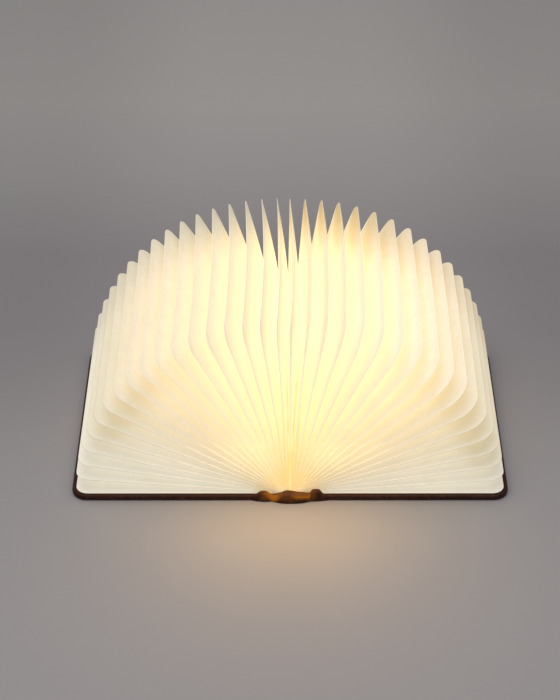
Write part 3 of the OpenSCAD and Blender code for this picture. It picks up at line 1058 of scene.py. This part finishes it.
    def sheet(self, side: Side, u_ridge: float, u_valley: float, leg: Leg, bulge: float) -> bmesh.types.BMesh:
        """One leg of the sheet between a ridge and a valley.

        Args:
            side: The half of the fan.
            u_ridge: The ridge's place in the fan.
            u_valley: The valley's place in the fan.
            leg: The leg.
            bulge: How far the sheet bows outwards.

        Returns:
            The sheet, with its thickness and its UV map.
        """
        ridge = self.rim(leg, u_ridge, 0.0, self.radii(side, u_ridge))
        valley = self.rim(leg, u_valley, self.depth, [self.valley_r, self.valley_r])
        rows = len(ridge) - 1
        bm = bmesh.new()
        uv = bm.loops.layers.uv.new("page")
        bmesh.ops.create_grid(bm, x_segments=rows, y_segments=self.depth_steps, size=0.5)
        shares: dict[bmesh.types.BMVert, tuple[float, float]] = {}
        for vertex in bm.verts:
            row = round((vertex.co.x + 0.5) * rows)
            t = limited(vertex.co.y + 0.5) ** self.row_power
            (ra, ry), (va, vy) = ridge[row], valley[row]
            lean = t + bulge * t * (1 - t)
            u = u_ridge + (u_valley + self.curled(side, u_valley, vy) - u_ridge) * lean
            vertex.co = self.point(side, u, ra + (va - ra) * t, ry + (vy - ry) * t)
            shares[vertex] = (row / rows, t)
        for face in bm.faces:
            for loop in face.loops:
                loop[uv].uv = shares[loop.vert]
        away = self.point(side, u_valley, *ridge[0]) - self.point(side, u_ridge, *ridge[0])
        bm.faces.ensure_lookup_table()
        middle = bm.faces[len(bm.faces) // 2]
        middle.normal_update()
        if middle.normal.dot(away) < 0:
            bmesh.ops.reverse_faces(bm, faces=bm.faces)
        bm.normal_update()
        bmesh.ops.solidify(bm, geom=bm.faces, thickness=self.paper)
        return bm

    def curled(self, side: Side, u: float, y: float) -> float:
        """How far a valley is turned towards the right at a place along the spine, most of all at the back."""
        back = limited(0.5 + y / (2 * (self.half - self.depth)))
        if side is Side.RIGHT:
            swell = math.sin(math.pi * min(1.2 * u + 0.2, 1.0)) - limited(1.75 - self.pleats[side] * u)
        else:
            swell = min(1.0, 0.4 + 6 * u) * (1.0 - u)
        return self.curl[side] / self.pleats[side] * back * swell

    def body(self, side: Side, index: int) -> str:
        """The body that a ridge rides on."""
        return "spine" if index == 0 else f"{side.word}_pleat_{index:02d}"

    def node(self, side: Side, index: int) -> str:
        """The CAD node of a ridge's pleat."""
        return "centre_pleat" if index == 0 else f"{side.word}_pleat_{index:02d}"

    def blend_line(self, side: Side, u: float, leg: Leg, share: float) -> tuple[Vector, Vector]:
        """Where a sheet's bending starts and ends, so that its valley has its share of the next ridge's turn.

        Args:
            side: The half of the fan.
            u: The ridge's place in the fan.
            leg: The leg.
            share: The valley's place between this ridge and the other one.

        Returns:
            The start and the end.
        """
        length = self.depth / (0.5 - math.sin(math.asin(1 - 2 * share) / 3))
        if leg is Leg.TOP:
            reach = self.reach(u)
            return self.point(side, u, reach, self.half), self.point(side, u, reach - length, self.half)
        sign = -1 if leg is Leg.FRONT else 1
        return Vector((0, sign * self.half, 0)), Vector((0, sign * (self.half - length), 0))

    def build_gap(self, side: Side, index: int, dice: random.Random) -> None:
        """The six pieces between two ridges.

        Args:
            side: The half of the fan.
            index: The inner ridge's number.
            dice: Seeded chance for the pages' small differences.
        """
        inner, outer = self.turn(side, index), self.turn(side, index + 1)
        lean = self.leaning[side] * (1 - index / self.pleats[side])
        share = 0.5 + lean + dice.uniform(-self.wander, self.wander)
        valley = inner + (outer - inner) * share
        for own, other in ((index, index + 1), (index + 1, index)):
            u = inner if own == index else outer
            facing = 1.0 if own == index or side is Side.LEFT else self.inner_bulge
            grown = min(1.0, (own - 1) / self.bulge_from)
            bulge = self.bulge[side] * facing * grown * dice.uniform(*self.bulge_range)
            for leg in Leg:
                name = f"{side.word}_page_{own:02d}_{'out' if own == index else 'in'}_{leg.value}"
                made = self.maker.piece(name, self.sheet(side, u, valley, leg, bulge), Finishes.PAPER, 25.0)
                begin, end = self.blend_line(side, u, leg, share if own == index else 1 - share)
                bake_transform(made, self.body(side, own), self.body(side, other), start=begin, end=end)
                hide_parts(self.node(side, own))

    def build_glued_page(self, side: Side) -> None:
        """The last page, which is glued flat on the cover.

        Args:
            side: The half of the fan.
        """
        thick = self.glued_thickness
        low = self.hinge_x + self.start(1.0)
        high = self.hinge_x + self.side_reach
        top = self.fold_z + self.last_offset
        bm = bmesh.new()
        bmesh.ops.create_grid(bm, x_segments=12, y_segments=14, size=0.5)
        reshape(bm, lambda v: Vector((low + (v.x + 0.5) * (high - low), v.y * 2 * self.half, top - thick)))
        corners = [
            v for v in bm.verts if v.co.x > high - EDGE_MATCH and abs(v.co.y) > self.half - EDGE_MATCH
        ]
        round_off(bm, corners, self.page_r, 8, "VERTICES")
        uv = bm.loops.layers.uv.new("page")
        for face in bm.faces:
            for loop in face.loops:
                inset = min(high - loop.vert.co.x, self.half - abs(loop.vert.co.y))
                loop[uv].uv = (loop.vert.co.y / self.half, inset / self.depth)
        grown = bmesh.ops.extrude_face_region(bm, geom=bm.faces[:])
        lifted = [e for e in grown["geom"] if isinstance(e, bmesh.types.BMVert)]
        bmesh.ops.translate(bm, vec=(0, 0, thick), verts=lifted)
        if side is Side.LEFT:
            bmesh.ops.scale(bm, vec=(-1, 1, 1), verts=bm.verts)
        bmesh.ops.recalc_face_normals(bm, faces=bm.faces)
        made = self.maker.piece(f"{side.word}_glued_page", bm, Finishes.FLAT_PAPER)
        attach(made, self.body(side, self.pleats[side]))
        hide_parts(self.node(side, self.pleats[side]))

    def build(self) -> None:
        """Makes every page."""
        dice = random.Random(self.seed)
        for side in Side:
            for index in range(self.pleats[side]):
                self.build_gap(side, index, dice)
            self.build_glued_page(side)


@dataclass
class LeatherCase:
    """The covers, the flexible stretches beside the spine, and the spine with its domed ends.

    TOPS and OUTER give an end's height and how far it stands out, by place across the spine from left to right as
    the end is seen, in millimetres.

    Attributes:
        maker: Makes the pieces.
        near_x: Where a cover begins, from the middle.
        fore_x: Where it ends.
        half: Half of a cover's length along the spine.
        inner_y: Where the leather of an end begins.
        thickness: A cover's thickness.
        corner_r: The radius of its outer corners.
        lower_r: The roundness of its outside edge.
        upper_r: The roundness of its inside edge.
        lining_margin: How far in the lining starts.
        lining_gap: The width of the step round it.
        lining_depth: The depth of that step.
        strip_half: Half of the spine's width.
        hinge_x: The fold line's distance from the middle.
        groove_t: The thickness of the flexible leather.
        bead_end: Where the roll of an end runs out.
        roll: The radius of the leather's roll over an end.
        fold_depth: How deep the fold line is pressed.
        fold_width: How wide it is.
        underside_t: The thickness of the leather under the spine.
    """

    maker: Maker
    near_x: float = 17.0 * MM
    fore_x: float = 182.5 * MM
    half: float = 107.5 * MM
    inner_y: float = 104.4 * MM
    thickness: float = 5.0 * MM
    corner_r: float = 13.0 * MM
    lower_r: float = 1.9 * MM
    upper_r: float = 1.1 * MM
    lining_margin: float = 2.2 * MM
    lining_gap: float = 0.25 * MM
    lining_depth: float = 0.2 * MM
    strip_half: float = 9.5 * MM
    hinge_x: float = 11.5 * MM
    groove_t: float = 1.4 * MM
    bead_end: float = 32.0 * MM
    roll: float = 1.9 * MM
    fold_depth: float = 0.85 * MM
    fold_width: float = 0.7 * MM
    underside_t: float = 0.8 * MM

    TOPS = (
        (-32.0, 4.6), (-29.0, 5.4), (-26.5, 7.4), (-24.5, 8.8), (-22.0, 9.2), (-19.5, 8.8), (-17.0, 6.8),
        (-14.5, 5.2), (-12.5, 5.0), (-10.5, 5.3), (-8.0, 7.0), (-5.0, 8.9), (-2.5, 9.6), (1.0, 9.3), (5.0, 8.5),
        (11.0, 7.7), (15.5, 7.2), (16.8, 7.8), (18.0, 9.9), (19.5, 10.8), (22.0, 10.9), (24.3, 10.6), (25.6, 9.0),
        (27.5, 6.6), (30.0, 5.4), (32.0, 4.6),
    )
    OUTER = (
        (-32.0, 107.4), (-27.0, 108.8), (-21.0, 109.5), (-16.0, 109.2), (-12.5, 110.1), (-8.0, 111.5),
        (0.0, 112.1), (8.0, 111.7), (14.0, 110.3), (17.5, 109.2), (21.0, 109.1), (26.0, 108.5), (32.0, 107.4),
    )

    def build_cover(self, side: Side) -> None:
        """A cover: leather turned over the board's edges, with a lining let in and a bead at each inner corner.

        Args:
            side: The half of the lamp.
        """
        bm = box((self.fore_x - self.near_x, 2 * self.half, self.thickness), (self.near_x + self.fore_x) / 2)
        upright = [
            e
            for e in bm.edges
            if abs(e.verts[0].co.z - e.verts[1].co.z) > self.thickness / 2
            and e.verts[0].co.x > self.fore_x - EDGE_MATCH
        ]
        round_off(bm, upright, self.corner_r, 14)
        lining = [f for f in bm.faces if f.normal.z > 0.9]
        bmesh.ops.inset_region(bm, faces=lining, thickness=self.lining_margin, depth=0.0)
        bmesh.ops.inset_region(bm, faces=lining, thickness=self.lining_gap, depth=-self.lining_depth)
        for height, offset, segments in ((0.0, self.lower_r, 5), (self.thickness, self.upper_r, 4)):
            rim = [
                e
                for e in bm.edges
                if all(abs(v.co.z - height) < 1e-6 for v in e.verts)
                and any(abs(f.normal.z) < 0.1 for f in e.link_faces)
            ]
            round_off(bm, rim, offset, segments)
        if side is Side.LEFT:
            bmesh.ops.scale(bm, vec=(-1, 1, 1), verts=bm.verts)
            bmesh.ops.reverse_faces(bm, faces=bm.faces)
        for end in (-1, 1):
            self._add_end(bm, end, side.value * self.near_x, side.value * self.bead_end, 36)
        made = self.maker.piece(f"{side.word}_cover_case", bm, Finishes.LEATHER)
        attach(made, f"{side.word}_cover")
        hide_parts(f"{side.word}_cover_leather")

    @staticmethod
    def follow(table: tuple[tuple[float, float], ...], x: float) -> float:
        """A value from a table of places and values, in millimetres, along a smooth curve through its rows."""
        at = limited(x / MM, table[0][0], table[-1][0])
        row = next(i for i in range(len(table) - 1) if at <= table[i + 1][0])
        (x0, v0), (x1, v1) = table[row], table[row + 1]
        before, after = table[max(row - 1, 0)], table[min(row + 2, len(table) - 1)]
        slope0, slope1 = (v1 - before[1]) / (x1 - before[0]), (after[1] - v0) / (after[0] - x0)
        t = (at - x0) / (x1 - x0)
        start = (1 - t) ** 2 * ((1 + 2 * t) * v0 + t * (x1 - x0) * slope0)
        finish = t**2 * ((3 - 2 * t) * v1 - (1 - t) * (x1 - x0) * slope1)
        return (start + finish) * MM

    def lit(self, x: float, z: float) -> float:
        """How much of the bar's light falls on the leather of an end.

        Args:
            x: The place across the spine, as seen from that end.
            z: The height.

        Returns:
            A share from 0 to 1.
        """
        across, height = x / MM, z / MM
        below = (self.follow(self.TOPS, x) - z) / MM
        # In millimetres: the dip lies at -14, the streak at 15.8 and the beads at -21.5 and 19.
        rise = smooth(height, 0.5, 4.5)
        body = 0.19 * smooth(height, 1.5, 5.5) * smooth(across, -19.0, -15.0) * smooth(-across, -20.0, -15.0)
        dip = peak(across, -14.0, 2.4 + 0.9 * height) * (0.35 + 0.65 * rise)
        band = peak(below, 1.2, 2.4) * smooth(across, -4.0, 7.0) * smooth(-across, -18.5, -16.0)
        streak = 0.5 * peak(across, 15.8, 2.2) * rise
        bead = 0.3 * peak(across, -21.5, 5.0) + 0.25 * peak(across, 19.0, 4.0)
        return min(max(body, min(1.0, 1.6 * dip), band, streak, bead * rise), 1.0)

    def _add_end(self, bm: bmesh.types.BMesh, end: int, low: float, high: float, steps: int) -> None:
        """Adds a stretch of the leather that rolls over an end of the case.

        Args:
            bm: The mesh to add to.
            end: -1 for the front and 1 for the back.
            low: Where the stretch starts across the spine.
            high: Where it ends.
            steps: Steps across.
        """
        roll = self.roll

        def section(across: float, round_share: float) -> Vector:
            """From shares across the spine and round the section to a place."""
            x = low + (high - low) * across
            seen = -end * x
            top, outer = self.follow(self.TOPS, seen), self.follow(self.OUTER, seen)
            arc = [math.radians(a) for a in (0, 22.5, 45, 67.5, 90)]
            # Up the outside from the floor, over the roll, down the inside and back.
            path = [
                (outer - 0.9 * MM, 0.0),
                (outer - 0.25 * MM, 0.3 * MM),
                *[(outer - roll * (1 - math.cos(a)), top - roll * (1 - math.sin(a))) for a in arc],
                (self.inner_y + 0.8 * MM, top - 0.15 * MM),
                (self.inner_y, top - 0.9 * MM),
                (self.inner_y, 0.3 * MM),
                (outer - 0.9 * MM, 0.0),
            ]
            wanted = round_share * (len(path) - 1)
            index = min(int(wanted), len(path) - 2)
            part = wanted - index
            (y0, z0), (y1, z1) = path[index], path[index + 1]
            return Vector((x, end * (y0 + (y1 - y0) * part), z0 + (z1 - z0) * part))

        band = tube_grid(steps, 30, section)
        light = band.verts.layers.float.new("lit")
        for vertex in band.verts:
            if abs(vertex.co.y) > self.inner_y + 0.5 * MM:
                vertex[light] = self.lit(-end * vertex.co.x, vertex.co.z)
        if "lit" not in bm.verts.layers.float:
            bm.verts.layers.float.new("lit")
        spare = bpy.data.meshes.new("spare")
        band.to_mesh(spare)
        band.free()
        bm.from_mesh(spare)
        bpy.data.meshes.remove(spare)

    def build_hinge(self, side: Side) -> None:
        """The backed leather between spine and cover, pressed along the fold, with its stretch of each end.

        Args:
            side: The half of the lamp.
        """
        low, high = self.strip_half - 0.1 * MM, self.near_x + 0.3 * MM

        def section(along: float, round_share: float) -> Vector:
            """From shares along the spine and round the section to a place."""
            y = (self.inner_y + 0.4 * MM) * (2 * along - 1)
            top = round_share <= 0.5
            s = round_share * 2 if top else 2 - round_share * 2
            x = low + (high - low) * s
            pressed = self.fold_depth * math.exp(-(((x - self.hinge_x) / self.fold_width) ** 2))
            return Vector((side.value * x, y, self.groove_t - pressed if top else 0.0))

        bm = tube_grid(20, 48, section)
        for end in (-1, 1):
            self._add_end(bm, end, side.value * low, side.value * high, 18)
        made = self.maker.piece(f"{side.word}_hinge_fold", bm, Finishes.LEATHER, 50.0)
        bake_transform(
            made,
            "spine",
            f"{side.word}_cover",
            start=(side.value * (self.strip_half + 0.2 * MM), 0, 0),
            end=(side.value * (self.near_x - 1.2 * MM), 0, 0),
        )
        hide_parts(f"{side.word}_hinge_leather")

    def build_spine(self) -> None:
        """The leather under the strip, and the leather drawn over the former at each end."""
        bm = box((2 * self.strip_half, 2 * self.half, self.underside_t), 0.0)
        made = self.maker.piece("spine_underside", bm, Finishes.LEATHER)
        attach(made, "spine")
        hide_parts("spine_leather")
        for end, word in ((-1, "front"), (1, "back")):
            bm = bmesh.new()
            self._add_end(bm, end, -self.strip_half, self.strip_half, 40)
            made = self.maker.piece(f"spine_{word}_cap", bm, Finishes.LEATHER, 50.0)
            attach(made, "spine")
            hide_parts("spine_leather")

    def build(self) -> None:
        """Makes the whole case."""
        for side in Side:
            self.build_cover(side)
            self.build_hinge(side)
        self.build_spine()


class InnerParts:
    """The boards, the light bar and its electronics, which keep their own shapes.

    Args:
        finishes: Where materials come from.
    """

    def __init__(self, finishes: Finishes) -> None:
        """Keeps the finishes."""
        self.finishes = finishes

    def dress(self) -> None:
        """Gives every kept node its finish."""
        for name in [*Finishes.INNER, *Finishes.SAME_AS]:
            finish = Finishes.INNER[Finishes.SAME_AS.get(name, name)]
            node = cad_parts[name]
            if not node.material_slots:
                node.data.materials.append(None)
            for slot in node.material_slots:
                slot.link = "OBJECT"
                slot.material = self.finishes.get(finish)
            log.info("%s: %s", name, finish.name)


@dataclass
class Studio:
    """The floor, the soft lights and the camera.

    Attributes:
        floor_colour: The floor and what lies beyond it, linear.
        shades: The painted light and shade of the floor from the front to the back, over a metre.
        eye: The camera's place.
        pitch: How far the camera looks down, in degrees.
        yaw: Its turn about the vertical, in degrees.
        roll: Its turn about its own axis, in degrees.
        focal: The camera's focal length for a sensor of 36 mm on the long side.
        floor_radius: The floor's radius.
        shades_from: Where the shades begin, in metres in front of the lamp's middle.
        aside: Where the painted shade on the floor beside the lamp starts and is darkest.
        aside_y: The same, from front to back.
        aside_dark: How much darker the painted shade makes the floor there.
        target: What the soft lights point at.
    """

    floor_colour: Colour = (0.335, 0.32, 0.325)
    shades: tuple[tuple[float, Colour], ...] = (
        (0.12, (0.325, 0.31, 0.32)),
        (0.26, (0.315, 0.30, 0.308)),
        (0.38, (0.31, 0.295, 0.30)),
        (0.55, (0.265, 0.25, 0.262)),
        (0.68, (0.265, 0.25, 0.262)),
        (0.85, (0.35, 0.335, 0.335)),
        (1.0, (0.40, 0.385, 0.375)),
    )
    eye: tuple[float, float, float] = (-0.0054, -1.4274, 1.0677)
    pitch: float = 34.72
    yaw: float = 0.12
    roll: float = -0.10
    focal: float = 104.35
    floor_radius: float = 9.0
    shades_from: float = 0.4
    aside: Band = (0.08, 0.26)
    aside_y: Band = (-0.15, 0.05)
    aside_dark: float = 0.13
    target: tuple[float, float, float] = (0.0, 0.0, 0.05)

    def build_floor(self) -> None:
        """A wide round floor, with painted light and shade on it."""
        bm = bmesh.new()
        bmesh.ops.create_circle(bm, cap_ends=True, segments=96, radius=self.floor_radius)
        mesh = bpy.data.meshes.new("floor")
        bm.to_mesh(mesh)
        bm.free()
        floor = linked("floor", mesh)
        material = bpy.data.materials.new("floor_grey")
        material.use_nodes = True
        w = Wiring(material.node_tree)
        place = w.place()
        x, y, _ = w.axes(place)
        # Painted shade: a darker band behind the lamp and darker floor beside it, with paler floor far behind.
        level = w.ramp(w.maths("ADD", y, self.shades_from, clamp=True), self.shades)
        aside = w.product(w.between(w.off(x), *self.aside), w.between(y, *self.aside_y), self.aside_dark)
        shade = w.darkened(level, aside)
        fine = w.blend_colour(w.noise(place, 900.0, 2.0), shade, tuple(0.97 * c for c in self.floor_colour))
        w.fill(
            material.node_tree.nodes["Principled BSDF"],
            Base_Color=w.blend_colour(0.85, fine, shade),
            Roughness=0.75,
            Specular_IOR_Level=0.2,
        )
        mesh.materials.append(material)

    @staticmethod
    def hang(name: str, place: Vector, toward: Vector, size: Band, power: float, colour: Colour) -> None:
        """Hangs a soft light.

        Args:
            name: The light's name.
            place: Its place.
            toward: The direction it shines in.
            size: Its width and height.
            power: Its power in watts.
            colour: Its colour.
        """
        data = bpy.data.lights.new(name, "AREA")
        data.shape = "RECTANGLE"
        data.size, data.size_y = size
        data.energy = power
        data.color = colour
        lamp = linked(name, data)
        lamp.location = place
        lamp.rotation_euler = toward.to_track_quat("-Z", "Y").to_euler()

    def build_lights(self) -> None:
        """A large soft light above, a weaker one in front, the bar's warm light on the floor, and an even sky."""
        target = Vector(self.target)
        above, ahead = Vector((-0.25, -0.3, 2.4)), Vector((0.9, -2.0, 1.2))
        self.hang("key", above, target - above, (2.0, 2.0), 38.0, (1.0, 0.985, 0.965))
        self.hang("fill", ahead, target - ahead, (1.6, 1.6), 4.0, (0.97, 0.98, 1.0))
        spine_end = Vector((0.0, -0.125, 0.085))
        self.hang("bar_spill", spine_end, Vector((0.0, -0.75, -0.66)), (0.14, 0.04), 0.10, (1.0, 0.57, 0.12))
        world = bpy.data.worlds.new("studio")
        bpy.context.scene.world = world
        world.use_nodes = True
        w = Wiring(world.node_tree)
        seen = w.node("LightPath").outputs["Is Camera Ray"]
        backdrop = tuple(0.9 * c for c in self.floor_colour)
        sky = w.blend_colour(seen, (0.27, 0.27, 0.275), backdrop)
        w.fill(world.node_tree.nodes["Background"], Color=sky, Strength=1.0)

    def build_camera(self) -> None:
        """The camera at the photograph's place."""
        data = bpy.data.cameras.new("camera")
        data.lens = self.focal
        data.sensor_width = 36.0
        data.clip_start = 0.05
        data.clip_end = 50.0
        camera = linked("camera", data)
        turn = Matrix.Rotation(math.radians(self.yaw), 4, "Z")
        tilt = Matrix.Rotation(math.radians(90.0 - self.pitch), 4, "X")
        spin = Matrix.Rotation(math.radians(self.roll), 4, "Z")
        camera.matrix_world = Matrix.Translation(self.eye) @ turn @ tilt @ spin
        bpy.context.scene.camera = camera

    def build(self) -> None:
        """Makes the studio."""
        bpy.context.scene.view_settings.view_transform = "Standard"
        self.build_floor()
        self.build_lights()
        self.build_camera()


def main() -> None:
    """Builds the lamp and its studio."""
    logging.basicConfig(level=logging.INFO, format="%(name)s %(message)s")
    finishes = Finishes()
    maker = Maker(finishes)
    Studio().build()
    PageFan(maker).build()
    LeatherCase(maker).build()
    InnerParts(finishes).dress()
    log.info("%d new pieces", maker.count)


if __name__ == "__main__":
    main()
